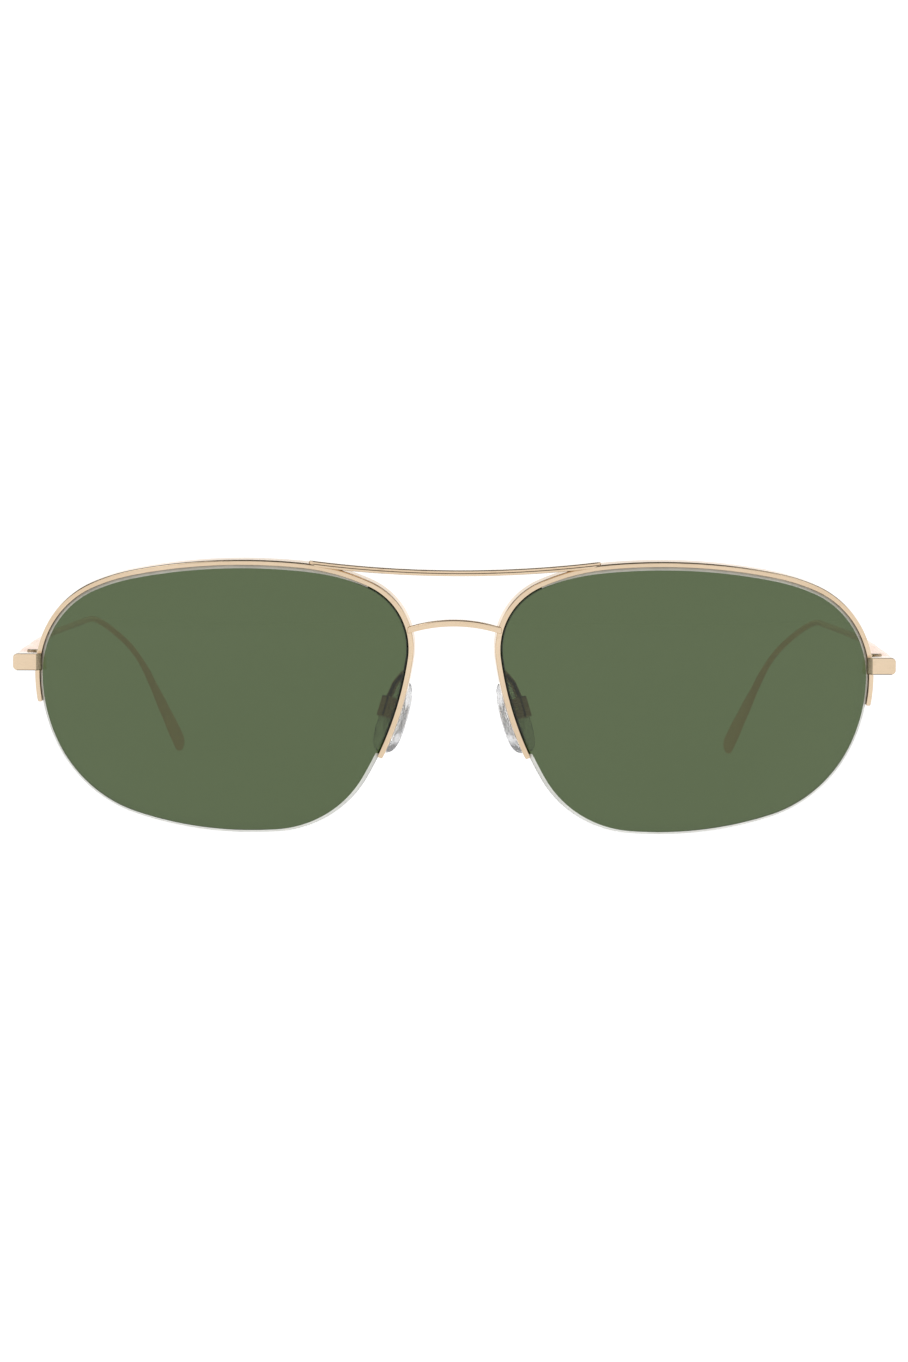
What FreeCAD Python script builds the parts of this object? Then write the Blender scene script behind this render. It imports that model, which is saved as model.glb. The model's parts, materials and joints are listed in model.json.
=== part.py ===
import FreeCAD, Part
import math
import os

# Aviator sunglasses with a half rim: metal eyewires over the top of two curved lenses, a nylon
# cord in the lens groove below them, a double bridge, wire temples on screw hinges, and nose
# pads on wire arms. Millimetres, +Z up, the wearer looks along -Y, and the object is mirrored
# across X = 0. It stands on the lens bottoms and the temple tips, with Z = 0 under them.
# "Right" is the side at +X. The pieces are laid out with Y = 0 at the front of the lenses, and
# are moved forward and up at the end, so that the origin is under the middle of the object.

V = FreeCAD.Vector

TO_ORIGIN = V(0, -69.25, 0.16)           # from the layout's zero to the object's origin

# ---- lens and front --------------------------------------------------------------------------
LENS_CENTRE = V(37.2, 0.0, 22.55)      # front vertex of the right lens
WRAP = 6.0                             # each lens turns back this much towards its temple
TILT = 6.0                             # the top of the front leans forward this much
LENS_RADIUS = 88.0                     # front surface of a 6-base lens
LENS_THICK = 2.1
LENS_BEVEL = 0.48

# The edge of the right lens is a closed chain of tangent arcs, clockwise from the nasal end of
# the top edge as seen from in front: radius, and how far the edge turns along it. The two radii
# given as None close the chain. Headings are degrees above the lens's own X axis.
EDGE_START = (-12.29, 20.29)
EDGE_HEADING = 5.5
EDGE_ARCS = [
    (None, 18.5),                      # top
    (33.0, 12.0),
    (16.0, 65.0),                      # upper temporal corner
    (25.75, 25.5),                     # temporal side
    (21.18, 49.0),                     # lower temporal corner
    (None, 20.0),                      # bottom
    (17.83, 55.5),                     # lower nasal corner
    (54.16, 22.0),                     # nasal side
    (11.26, 72.5),                     # upper nasal corner
    (32.08, 20.0),
]

# The eyewire runs over the top, between these two headings of the edge.
RIM_NASAL_HEADING = -244.5
RIM_TEMPORAL_HEADING = -460.1
RIM_GAP = 0.05                         # between the lens edge and the eyewire
RIM_WIDE = 0.80
RIM_PROUD = 0.15                       # the eyewire stands this much past each lens face
RIM_ROUND = 0.20

GROOVE_DEEP = 0.45                     # in the lens edge, and as deep again in the eyewire
GROOVE_WIDE = 0.62
LINER_THICK = 0.56
CORD_THICK = 0.50
CORD_PROUD = 0.12                      # the cord stands this much out of the lens edge
CORD_TUCK = 5.0                        # degrees of the edge along which the cord enters the eyewire

# ---- bridges ---------------------------------------------------------------------------------
BROW_HALF = 23.2                       # half length of the brow bar
BROW_END_Z = 44.15                     # top of the bar at its ends
BROW_MID_Z = 42.75                     # top of the bar in the middle
BROW_TALL = 0.95
BROW_DEEP = 1.7
BROW_END_Y = -0.05                     # front of the bar at its ends
BROW_MID_Y = -1.45
BRIDGE_HALF = 8.6
BRIDGE_END_Z = 33.10
BRIDGE_MID_Z = 34.80
BRIDGE_TALL = 1.10
BRIDGE_DEEP = 1.7
BRIDGE_END_Y = 1.55
BRIDGE_MID_Y = 0.15
BRIDGE_ROUND = 0.22

# ---- endpiece and hinge ----------------------------------------------------------------------
END_INNER = 66.6                       # inner edge of the lap over the eyewire
END_LAP = 67.40                        # where the front face begins
END_WALL = 67.95                       # inner wall behind the lap
END_OUTER = 71.05
END_FRONT = 6.60
END_BACK = 11.20
END_LOW = 25.90
END_HIGH = 28.60
END_ROUND = 0.70                       # outer corners
END_EASE = 0.25                        # edges of the front face
END_RAMP = 0.75                        # how far back the bevel along the lap goes
END_LAP_DEEP = 2.2                     # front to back of the lap

HINGE_X = 68.55
HINGE_Y = 12.75
KNUCKLE_R = 1.05
KNUCKLE_GAP = 0.05
HINGE_PIN_R = 0.55
PIN_FIT = 0.03
HINGE_LOW = 26.05
HINGE_HIGH = 28.45
MID_KNUCKLE_LOW = 26.85
MID_KNUCKLE_HIGH = 27.65
KNUCKLE_SWEEP = 0.12                   # room round the middle knuckle
LEAF_INNER = 0.60                      # front leaf, each side of the hinge axis
LEAF_OUTER = 0.75
LEAF_THICK = 0.65                      # rear leaf, on the temple
LEAF_START = 1.35                      # rear leaf, behind the hinge axis
LEAF_END = 4.30
LEAF_SHORT = 0.15                      # and this much inside the knuckles at top and bottom
LEAF_ARM = 2.20                        # the middle knuckle's arm reaches this far back
PIN_BELOW = 0.15                       # the screw's end below the hinge
SCREW_HEAD_R = 0.90
SCREW_HEAD_TALL = 0.40
SCREW_SLOT = 0.28

# ---- temple ----------------------------------------------------------------------------------
TEMPLE_GAP = 0.08                      # between temple and endpiece when the temple is open
TEMPLE_OUTER = 70.95
TEMPLE_INNER = 69.70
WIRE = 1.10                            # diameter of the temple wire
NECK = [(16.5, 1.25, 2.40), (26.0, 1.15, 1.90), (42.0, 0.80, 0.80)]   # y, width, height of the taper
ROUTE = [V(70.3, 13.5, 27.30), V(69.5, 45.0, 29.10), V(66.8, 105.0, 28.50), V(60.5, 120.5, 20.50),
         V(53.5, 139.4, 0.45)]
BEND_RADII = [300.0, 38.0, 42.0]
WIRE_START = 30.0                      # depth at which the wire begins, inside the taper
PADDLE_LONG = 23.0
PADDLE_WIDE = 4.0
PADDLE_THICK = 0.90
PADDLE_ROUND = 0.28
PADDLE_SWELL = 0.62                    # share of its length over which it widens
PADDLE_OVERLAP = 4.0                   # the wire runs this far into it

# ---- nose pads -------------------------------------------------------------------------------
PAD_CENTRE = V(9.90, 9.50, 18.60)
PAD_SPLAY = 33.0                       # the back edges of the pads stand further apart
PAD_LEAN = 23.0                        # the tops of the pads stand closer together
PAD_LONG = 12.2
PAD_WIDE = 7.0
PAD_THICK = 2.1
PAD_ROUND = 0.85
INSERT_LONG = 6.0
INSERT_WIDE = 3.0
INSERT_THICK = 0.4
BOX_UP = 1.0                           # the pad box sits above the middle of the pad
BOX_FORE = 0.8                         # and in front of it
BOX_OUT = 2.05                         # pad screw to the middle plane of the pad
BOX_WIDE = 1.90                        # fore and aft, along the pad screw
BOX_TALL = 3.40
BOX_BACK = 1.20                        # pad screw to the closed side of the box
BOX_MOUTH = 0.55                       # pad screw to the open side
BOX_WALL = 0.42
BOX_ROUND = 0.25
BOSS_WIDE = 0.96
BOSS_FIT = 0.05                        # each side of the lug, inside the box
BOSS_R = 0.70
PAD_PIN_R = 0.40
PAD_HEAD_R = 0.68
PAD_HEAD_TALL = 0.32
PAD_HEAD_SLOT = 0.22
ARM_WIRE = 1.0
ARM_ROUTE = [V(7.40, 3.10, 25.70), V(7.95, 6.70, 26.20), V(9.60, 7.90, 24.20)]
ARM_RADII = [1.5, 1.8]
ARM_SINK = 0.15                        # the wire is brazed this far into the box before trimming

FAR = 40.0                             # longer than any cut needs


def lens_arcs():
    """Centre, radius, first and last heading (radians) of each arc of the lens edge."""
    heading = math.radians(EDGE_HEADING)
    steps = []
    for radius, turn in EDGE_ARCS:
        after = heading - math.radians(turn)
        steps.append((radius, heading, after))
        heading = after
    reach = [(math.sin(a) - math.sin(b), math.cos(b) - math.cos(a)) for _, a, b in steps]
    free = [i for i, step in enumerate(steps) if step[0] is None]
    rest_x = sum(steps[i][0] * reach[i][0] for i in range(len(steps)) if i not in free)
    rest_z = sum(steps[i][0] * reach[i][1] for i in range(len(steps)) if i not in free)
    (ax, az), (bx, bz) = reach[free[0]], reach[free[1]]
    det = ax * bz - bx * az
    closing = {free[0]: (bx * rest_z - bz * rest_x) / det, free[1]: (az * rest_x - ax * rest_z) / det}
    arcs = []
    x, z = EDGE_START
    for i, (radius, a, b) in enumerate(steps):
        radius = closing.get(i, radius)
        centre = (x + radius * math.sin(a), z - radius * math.cos(a))
        arcs.append((centre, radius, a, b))
        x = centre[0] - radius * math.sin(b)
        z = centre[1] + radius * math.cos(b)
    return arcs


LENS_ARCS = lens_arcs()


def edge_window(offset, start=None, end=None):
    """Arcs of the lens edge moved out by offset, between two headings in degrees, as
    (first, middle, last) points in the lens's own plane."""
    whole = start is None
    first = math.radians(EDGE_HEADING if whole else start)
    last = math.radians(EDGE_HEADING - 360.0 if whole else end)
    pieces = []
    for lap in (0.0, 2.0 * math.pi):
        for (cx, cz), radius, a, b in LENS_ARCS:
            top = min(a - lap, first)
            bottom = max(b - lap, last)
            if top - bottom < 1e-6:
                continue
            r = radius + offset
            points = [V(cx - r * math.sin(h), 0, cz + r * math.cos(h))
                      for h in (top, (top + bottom) / 2.0, bottom)]
            pieces.append(points)
    return pieces


def arc_edges(pieces):
    return [Part.Arc(a, m, b).toShape() for a, m, b in pieces]


def prism(wire, low, high):
    """A closed wire in the XZ plane pushed along Y from low to high."""
    face = Part.Face(wire)
    face.translate(V(0, low, 0))
    return face.extrude(V(0, high - low, 0))


def lens_prism(offset):
    return prism(Part.Wire(arc_edges(edge_window(offset))), -6.0, 18.0)


def strip_prism(inner, outer, start, end):
    """A strip along part of the lens edge, between two offsets."""
    out = edge_window(outer, start, end)
    back = [(b, m, a) for a, m, b in reversed(edge_window(inner, start, end))]
    edges = arc_edges(out)
    edges.append(Part.LineSegment(out[-1][2], back[0][0]).toShape())
    edges += arc_edges(back)
    edges.append(Part.LineSegment(back[-1][2], out[0][0]).toShape())
    return prism(Part.Wire(edges), -6.0, 18.0)


def shell(front, back):
    """The space between two spheres about the lens's centre of curvature; front and back are
    depths behind the lens's front face."""
    centre = V(0, LENS_RADIUS, 0)
    return Part.makeSphere(LENS_RADIUS - front, centre).cut(Part.makeSphere(LENS_RADIUS - back, centre))


def groove_shell(thick):
    middle = LENS_THICK / 2.0
    return shell(middle - thick / 2.0, middle + thick / 2.0)


def on_front(shape):
    """Moves a shape from the lens's own frame to the right-hand side of the object."""
    turn = FreeCAD.Rotation(V(1, 0, 0), TILT).multiply(FreeCAD.Rotation(V(0, 0, 1), WRAP))
    placed = shape.copy()
    placed.Placement = FreeCAD.Placement(LENS_CENTRE, turn).multiply(placed.Placement)
    return placed


def edges_on_sphere(shape, depth, prism_offset):
    """Long edges of a shape where a sphere at this depth meets the wall at this offset."""
    centre = V(0, LENS_RADIUS, 0)
    radius = LENS_RADIUS - depth
    found = []
    for edge in shape.Edges:
        first, last = edge.ParameterRange
        points = [edge.valueAt(first + (last - first) * t) for t in (0.1, 0.5, 0.9)]
        if all(abs(p.distanceToPoint(centre) - radius) < 1e-3 for p in points):
            if all(abs(edge_distance(p) - prism_offset) < 2e-3 for p in points):
                found.append(edge)
    return found


def edge_distance(point):
    """How far outside the lens edge a point lies, in the lens's own plane."""
    best = 1e9
    for (cx, cz), radius, a, b in LENS_ARCS:
        heading = math.atan2(cx - point.x, point.z - cz)
        while heading > a + 1e-6:
            heading -= 2.0 * math.pi
        while heading < b - 2.0 * math.pi + 1e-6:
            heading += 2.0 * math.pi
        if heading >= b - 1e-4:
            gap = math.hypot(point.x - cx, point.z - cz) - radius
            if abs(gap) < abs(best):
                best = gap
    return best


def lens():
    solid = lens_prism(0.0).common(shell(0.0, LENS_THICK))
    bevel = edges_on_sphere(solid, 0.0, 0.0) + edges_on_sphere(solid, LENS_THICK, 0.0)
    solid = solid.makeChamfer(LENS_BEVEL, bevel)
    channel = lens_prism(1.0).cut(lens_prism(-GROOVE_DEEP)).common(groove_shell(GROOVE_WIDE))
    return on_front(solid.cut(channel))


def rim_blank():
    """The eyewire before its channel is cut."""
    strip = strip_prism(RIM_GAP, RIM_GAP + RIM_WIDE, RIM_NASAL_HEADING, RIM_TEMPORAL_HEADING)
    return strip.common(shell(-RIM_PROUD, LENS_THICK + RIM_PROUD))


def eyewire():
    solid = rim_blank()
    outer = RIM_GAP + RIM_WIDE
    corners = edges_on_sphere(solid, -RIM_PROUD, outer)
    corners += edges_on_sphere(solid, LENS_THICK + RIM_PROUD, outer)
    solid = solid.makeFillet(RIM_ROUND, corners)
    channel = lens_prism(RIM_GAP + GROOVE_DEEP).cut(lens_prism(-1.0)).common(groove_shell(GROOVE_WIDE))
    return on_front(solid.cut(channel))


def liner():
    """The upper nylon liner, half in the eyewire's channel and half in the lens groove."""
    strip = strip_prism(0.03 - GROOVE_DEEP, RIM_GAP + GROOVE_DEEP - 0.03,
                        RIM_NASAL_HEADING - CORD_TUCK, RIM_TEMPORAL_HEADING + CORD_TUCK)
    return on_front(strip.common(groove_shell(LINER_THICK)))


def cord():
    """The lower nylon cord, from inside one end of the eyewire to inside the other."""
    strip = strip_prism(CORD_PROUD - CORD_THICK, CORD_PROUD,
                        RIM_TEMPORAL_HEADING + 360.0 + CORD_TUCK - 0.4,
                        RIM_NASAL_HEADING - CORD_TUCK + 0.4)
    return on_front(strip.common(groove_shell(CORD_THICK)))


def arc_through(half, end, middle):
    """The arc from (-half, end) over (0, middle) to (half, end), as points (u, v)."""
    return (-half, end), (0.0, middle), (half, end)


def bar(half, z_end, z_mid, tall, y_end, y_mid, deep):
    """A bar that is bowed both seen from the front and seen from above."""
    def band(end, middle, thick, to_vector):
        high = [to_vector(*p) for p in arc_through(half, end, middle)]
        low = [to_vector(*p) for p in arc_through(half, end - thick, middle - thick)]
        return Part.Wire([
            Part.Arc(*high).toShape(),
            Part.LineSegment(high[2], low[2]).toShape(),
            Part.Arc(low[2], low[1], low[0]).toShape(),
            Part.LineSegment(low[0], high[0]).toShape(),
        ])
    front = prism(band(z_end, z_mid, tall, lambda u, v: V(u, 0, v)), -FAR, FAR)
    plan = Part.Face(band(y_end + deep, y_mid + deep, deep, lambda u, v: V(u, v, 0)))
    plan = plan.extrude(V(0, 0, 2.0 * FAR))
    return front.common(plan)


def between_rims(solid):
    """Trims a bar where it is brazed against the two eyewires, and keeps it off the lenses."""
    blank = on_front(rim_blank())
    keep_off = on_front(lens_prism(RIM_GAP + 0.2).common(shell(-1.5, LENS_THICK + 1.5)))
    for tool in (blank, keep_off):
        solid = solid.cut(tool)
        solid = solid.cut(mirrored(tool))
    return max(solid.Solids, key=lambda s: s.Volume)


def brow_bar():
    return between_rims(bar(BROW_HALF, BROW_END_Z, BROW_MID_Z, BROW_TALL,
                            BROW_END_Y, BROW_MID_Y, BROW_DEEP))


def bridge():
    solid = bar(BRIDGE_HALF, BRIDGE_END_Z, BRIDGE_MID_Z, BRIDGE_TALL,
                BRIDGE_END_Y, BRIDGE_MID_Y, BRIDGE_DEEP)
    long_edges = [e for e in solid.Edges if e.Length > BRIDGE_HALF]
    return between_rims(solid.makeFillet(BRIDGE_ROUND, long_edges))


def polygon_prism(points, low, high):
    """A polygon of (x, y) points pushed along Z from low to high."""
    ring = [V(x, y, low) for x, y in points]
    face = Part.Face(Part.makePolygon(ring + [ring[0]]))
    return face.extrude(V(0, 0, high - low))


def block(low, high):
    size = high.sub(low)
    return Part.makeBox(size.x, size.y, size.z, low)


def rod(radius, low, high, x, y):
    return Part.makeCylinder(radius, high - low, V(x, y, low))


def endpiece():
    """The block brazed to the eyewire, with a lap over its front and a bevel along the lap."""
    lap_back = END_FRONT + END_LAP_DEEP
    plan = [(END_INNER, END_FRONT + END_RAMP), (END_LAP, END_FRONT), (END_OUTER, END_FRONT),
            (END_OUTER, END_BACK), (END_WALL, END_BACK), (END_WALL, lap_back), (END_INNER, lap_back)]
    solid = polygon_prism(plan, END_LOW, END_HIGH)
    outer = [e for e in solid.Edges if all(abs(v.X - END_OUTER) < 1e-6 for v in e.Vertexes)]
    along = [e for e in outer if abs(e.Vertexes[0].Y - e.Vertexes[1].Y) > 1.0]
    solid = solid.makeFillet(END_ROUND, along)
    front = [e for e in solid.Edges
             if all(abs(v.Y - END_FRONT) < 1e-6 for v in e.Vertexes) and e.Length > 0.9]
    solid = solid.makeFillet(END_EASE, front)
    solid = solid.cut(on_front(rim_blank()))
    keep_off = on_front(lens_prism(RIM_GAP + 0.1).common(shell(-RIM_PROUD, LENS_THICK + 3.0)))
    solid = solid.cut(keep_off)
    return max(solid.Solids, key=lambda s: s.Volume)


def hinge_front():
    """Two knuckles on a leaf, brazed to the back of the endpiece."""
    barrel = rod(KNUCKLE_R, HINGE_LOW, HINGE_HIGH, HINGE_X, HINGE_Y)
    leaf = block(V(HINGE_X - LEAF_INNER, END_BACK, HINGE_LOW), V(HINGE_X + LEAF_OUTER, HINGE_Y, HINGE_HIGH))
    solid = barrel.fuse(leaf).removeSplitter()
    slot = rod(KNUCKLE_R + KNUCKLE_SWEEP, MID_KNUCKLE_LOW - KNUCKLE_GAP, MID_KNUCKLE_HIGH + KNUCKLE_GAP,
               HINGE_X, HINGE_Y)
    solid = solid.cut(slot)
    return solid.cut(rod(HINGE_PIN_R + PIN_FIT, HINGE_LOW - 1, HINGE_HIGH + 1, HINGE_X, HINGE_Y))


def hinge_rear():
    """The middle knuckle on its own leaf, brazed to the inside of the temple."""
    solid = rod(KNUCKLE_R, MID_KNUCKLE_LOW, MID_KNUCKLE_HIGH, HINGE_X, HINGE_Y)
    arm = block(V(HINGE_X, HINGE_Y - 0.1, MID_KNUCKLE_LOW),
                V(TEMPLE_INNER, HINGE_Y + LEAF_ARM, MID_KNUCKLE_HIGH))
    leaf = block(V(TEMPLE_INNER - LEAF_THICK, HINGE_Y + LEAF_START, HINGE_LOW + LEAF_SHORT),
                 V(TEMPLE_INNER, HINGE_Y + LEAF_END, HINGE_HIGH - LEAF_SHORT))
    solid = solid.fuse([arm, leaf]).cut(temple_neck()).removeSplitter()
    return solid.cut(rod(HINGE_PIN_R + PIN_FIT, HINGE_LOW - 1, HINGE_HIGH + 1, HINGE_X, HINGE_Y))


def slotted_head(radius, tall, slot_wide):
    """A round screw head standing on Z = 0, with a slot across it."""
    head = Part.makeCylinder(radius, tall)
    top = [e for e in head.Edges if e.Closed and abs(e.CenterOfMass.z - tall) < 1e-6]
    head = head.makeFillet(tall * 0.4, top)
    return head.cut(block(V(-2, -slot_wide / 2.0, tall * 0.5), V(2, slot_wide / 2.0, tall + 1)))


def hinge_screw():
    head = slotted_head(SCREW_HEAD_R, SCREW_HEAD_TALL, SCREW_SLOT)
    head.translate(V(HINGE_X, HINGE_Y, HINGE_HIGH))
    pin = rod(HINGE_PIN_R, HINGE_LOW - PIN_BELOW, HINGE_HIGH, HINGE_X, HINGE_Y)
    return pin.fuse(head).removeSplitter()


def route_wire(points, radii):
    """Straight runs joined by tangent arcs."""
    edges = []
    here = points[0]
    for before, corner, after, radius in zip(points, points[1:], points[2:], radii):
        back = before.sub(corner).normalize()
        ahead = after.sub(corner).normalize()
        half = back.getAngle(ahead) / 2.0
        first = corner.add(V(back).multiply(radius / math.tan(half)))
        last = corner.add(V(ahead).multiply(radius / math.tan(half)))
        inward = back.add(ahead).normalize()
        middle = corner.add(inward.multiply(radius / math.sin(half) - radius))
        edges.append(Part.LineSegment(here, first).toShape())
        edges.append(Part.Arc(first, middle, last).toShape())
        here = last
    edges.append(Part.LineSegment(here, points[-1]).toShape())
    return Part.Wire(edges)


def sweep(points, radii, diameter):
    """A round wire along a route."""
    path = route_wire(points, radii)
    ring = Part.Wire(Part.makeCircle(diameter / 2.0, points[0], points[1].sub(points[0])))
    return path.makePipeShell([ring], True, False)


def rounded_section(x, y, z, wide, tall):
    """A rectangle across Y with rounded corners, centred on (x, z)."""
    r = 0.28 * min(wide, tall)
    u = wide / 2.0
    w = tall / 2.0
    corners = [(1, 1, 0), (-1, 1, 90), (-1, -1, 180), (1, -1, 270)]
    edges = []
    arcs = []
    for sx, sz, turn in corners:
        centre = V(x + sx * (u - r), y, z + sz * (w - r))
        ring = [centre.add(V(r * math.cos(math.radians(turn + t)), 0, r * math.sin(math.radians(turn + t))))
                for t in (0, 45, 90)]
        arcs.append(ring)
    for i, ring in enumerate(arcs):
        edges.append(Part.Arc(*ring).toShape())
        edges.append(Part.LineSegment(ring[2], arcs[(i + 1) % 4][0]).toShape())
    return Part.Wire(edges)


def route_point(y):
    """The point of the temple's first straight run at this depth."""
    share = (y - ROUTE[0].y) / (ROUTE[1].y - ROUTE[0].y)
    return ROUTE[0].add(ROUTE[1].sub(ROUTE[0]).multiply(share))


def temple_neck():
    """The flat front end of the temple, tapering into the wire."""
    wide = TEMPLE_OUTER - TEMPLE_INNER
    middle = (TEMPLE_OUTER + TEMPLE_INNER) / 2.0
    centre_z = (HINGE_LOW + HINGE_HIGH) / 2.0
    sections = [rounded_section(middle, y, centre_z, wide, HINGE_HIGH - HINGE_LOW)
                for y in (END_BACK + TEMPLE_GAP, NECK[0][0])]
    neck = Part.makeLoft(sections, True, True)
    taper = [sections[1]]
    for y, wide, tall in NECK[1:]:
        at = route_point(y)
        taper.append(rounded_section(at.x, y, at.z, wide, tall))
    return neck.fuse(Part.makeLoft(taper, True, False)).removeSplitter()


def paddle():
    """The flattened ear tip: a flat blade that widens to a rounded end."""
    run = ROUTE[-1].sub(ROUTE[-2]).normalize()
    flat = V(run.y, -run.x, 0).normalize()
    across = flat.cross(run)
    radius = PADDLE_WIDE / 2.0
    slim = 0.42 * WIRE
    swell = PADDLE_LONG * PADDLE_SWELL
    rows = [V(0, 0, slim), V(swell, 0, radius), V(PADDLE_LONG - radius, 0, radius)]
    low = [V(p.x, p.y, -p.z) for p in rows]
    side = Part.BSplineCurve()
    side.interpolate([rows[0], V(swell * 0.45, 0, slim + (radius - slim) * 0.42), rows[1]],
                     InitialTangent=V(1, 0, 0.02), FinalTangent=V(1, 0, 0))
    under = Part.BSplineCurve()
    under.interpolate([low[1], V(swell * 0.45, 0, -slim - (radius - slim) * 0.42), low[0]],
                      InitialTangent=V(-1, 0, 0), FinalTangent=V(-1, 0, 0.02))
    outline = Part.Wire([
        side.toShape(),
        Part.LineSegment(rows[1], rows[2]).toShape(),
        Part.Arc(rows[2], V(PADDLE_LONG, 0, 0), low[2]).toShape(),
        Part.LineSegment(low[2], low[1]).toShape(),
        under.toShape(),
        Part.LineSegment(low[0], rows[0]).toShape(),
    ])
    blade = prism(outline, -PADDLE_THICK / 2.0, PADDLE_THICK / 2.0)
    rounds = [e for e in blade.Edges
              if abs(abs(e.CenterOfMass.y) - PADDLE_THICK / 2.0) < 1e-6 and e.CenterOfMass.x > 0.5]
    blade = blade.makeFillet(PADDLE_ROUND, rounds)
    start = ROUTE[-1].sub(V(run).multiply(PADDLE_LONG))
    turn = FreeCAD.Rotation(run, flat, across, "XZY")
    blade.Placement = FreeCAD.Placement(start, turn)
    return blade


def temple():
    run = ROUTE[-1].sub(ROUTE[-2]).normalize()
    wire_end = ROUTE[-1].sub(run.multiply(PADDLE_LONG - PADDLE_OVERLAP))
    wire = sweep([route_point(WIRE_START)] + ROUTE[1:-1] + [wire_end], BEND_RADII, WIRE)
    return temple_neck().fuse([wire, paddle()]).removeSplitter()


def pad_turn():
    """The nose pad's own axes: X fore and aft, Y towards the nose, Z up along the pad."""
    splay = math.radians(PAD_SPLAY)
    lean = math.radians(PAD_LEAN)
    aft = V(math.sin(splay), math.cos(splay), 0)
    up = V(-math.sin(lean), 0, math.cos(lean))
    up = up.sub(V(aft).multiply(up.dot(aft))).normalize()
    return FreeCAD.Rotation(aft, up.cross(aft), up, "XZY")


def on_pad(shape):
    shape.Placement = FreeCAD.Placement(PAD_CENTRE, pad_turn()).multiply(shape.Placement)
    return shape


def egg(long, wide):
    """An oval outline across Y, a little fuller at the bottom."""
    half = long / 2.0
    u = wide / 2.0
    points = [V(0, 0, half), V(0.72 * u, 0, 0.66 * half), V(u, 0, -0.08 * half),
              V(0.80 * u, 0, -0.70 * half), V(0, 0, -half), V(-0.80 * u, 0, -0.70 * half),
              V(-u, 0, -0.08 * half), V(-0.72 * u, 0, 0.66 * half)]
    curve = Part.BSplineCurve()
    curve.interpolate(points, PeriodicFlag=True)
    return Part.Wire(curve.toShape())


def boss_bar(radius, wide, low, high):
    """A flat lug from the pad to the pad screw, rounded about the screw."""
    flat = block(V(-wide / 2.0, low, -radius), V(wide / 2.0, high, radius))
    end = Part.makeCylinder(radius, wide, V(-wide / 2.0, low, 0), V(1, 0, 0))
    return flat.fuse(end).removeSplitter()


def at_box(shape):
    """Moves a shape made about the pad screw to its place in the pad's own axes."""
    shape.translate(V(-BOX_FORE, -BOX_OUT, BOX_UP))
    return shape


def pad_insert():
    """The metal plate inside the pad, with the lug that the pad screw holds."""
    plate = prism(egg(INSERT_LONG, INSERT_WIDE), -INSERT_THICK / 2.0, INSERT_THICK / 2.0)
    lug = at_box(boss_bar(BOSS_R, BOSS_WIDE, 0.0, BOX_OUT))
    solid = plate.fuse(lug).removeSplitter()
    hole = at_box(Part.makeCylinder(PAD_PIN_R + PIN_FIT, 4.0, V(-2.0, 0, 0), V(1, 0, 0)))
    return on_pad(solid.cut(hole))


def nose_pad():
    """The silicone pad, moulded round its insert."""
    pad = prism(egg(PAD_LONG, PAD_WIDE), -PAD_THICK / 2.0, PAD_THICK / 2.0)
    pad = pad.makeFillet(PAD_ROUND, [e for e in pad.Edges if e.Length > PAD_LONG])
    return on_pad(pad).cut(pad_insert())


def box_blank():
    return block(V(-BOX_WIDE / 2.0, -BOX_BACK, -BOX_TALL / 2.0), V(BOX_WIDE / 2.0, BOX_MOUTH, BOX_TALL / 2.0))


def pad_box():
    """The cup on the end of the pad arm, open towards the pad."""
    solid = box_blank()
    corners = [e for e in solid.Edges if abs(e.CenterOfMass.y + BOX_BACK) < 1e-6]
    solid = solid.makeFillet(BOX_ROUND, corners)
    inner = block(V(-BOSS_WIDE / 2.0 - BOSS_FIT, BOX_WALL - BOX_BACK, BOX_WALL - BOX_TALL / 2.0),
                  V(BOSS_WIDE / 2.0 + BOSS_FIT, BOX_OUT, BOX_TALL / 2.0 - BOX_WALL))
    solid = solid.cut(inner)
    hole = Part.makeCylinder(PAD_PIN_R + PIN_FIT, 4.0, V(-2.0, 0, 0), V(1, 0, 0))
    return on_pad(at_box(solid.cut(hole)))


def pad_screw():
    head = slotted_head(PAD_HEAD_R, PAD_HEAD_TALL, PAD_HEAD_SLOT)
    head.rotate(V(0, 0, 0), V(0, 1, 0), 90)
    head.translate(V(BOX_WIDE / 2.0, 0, 0))
    shank = Part.makeCylinder(PAD_PIN_R, BOX_WIDE + 0.1, V(-BOX_WIDE / 2.0 - 0.1, 0, 0), V(1, 0, 0))
    return on_pad(at_box(shank.fuse(head).removeSplitter()))


def pad_arm():
    """The bent wire from the back of the eyewire to the pad box."""
    foot = V(-BOX_FORE, (BOX_MOUTH - BOX_BACK) / 2.0 - BOX_OUT, BOX_UP + BOX_TALL / 2.0 - ARM_SINK)
    foot = PAD_CENTRE.add(pad_turn().multVec(foot))
    solid = sweep(ARM_ROUTE + [foot], ARM_RADII, ARM_WIRE)
    solid = solid.cut(on_front(rim_blank()))
    solid = solid.cut(on_pad(at_box(box_blank())))
    keep_off = on_front(lens_prism(RIM_GAP + 0.1).common(shell(-1.0, LENS_THICK + RIM_PROUD)))
    solid = solid.cut(keep_off)
    return max(solid.Solids, key=lambda s: s.Volume)


def mirrored(shape):
    return shape.mirror(V(0, 0, 0), V(1, 0, 0))


PAIRS = {
    "eyewire": eyewire,
    "lens": lens,
    "lens_liner": liner,
    "nylon_cord": cord,
    "endpiece": endpiece,
    "hinge_front": hinge_front,
    "hinge_rear": hinge_rear,
    "hinge_screw": hinge_screw,
    "temple": temple,
    "pad_arm": pad_arm,
    "pad_box": pad_box,
    "pad_screw": pad_screw,
    "pad_insert": pad_insert,
    "nose_pad": nose_pad,
}
SINGLES = {
    "brow_bar": brow_bar,
    "bridge": bridge,
}


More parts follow.
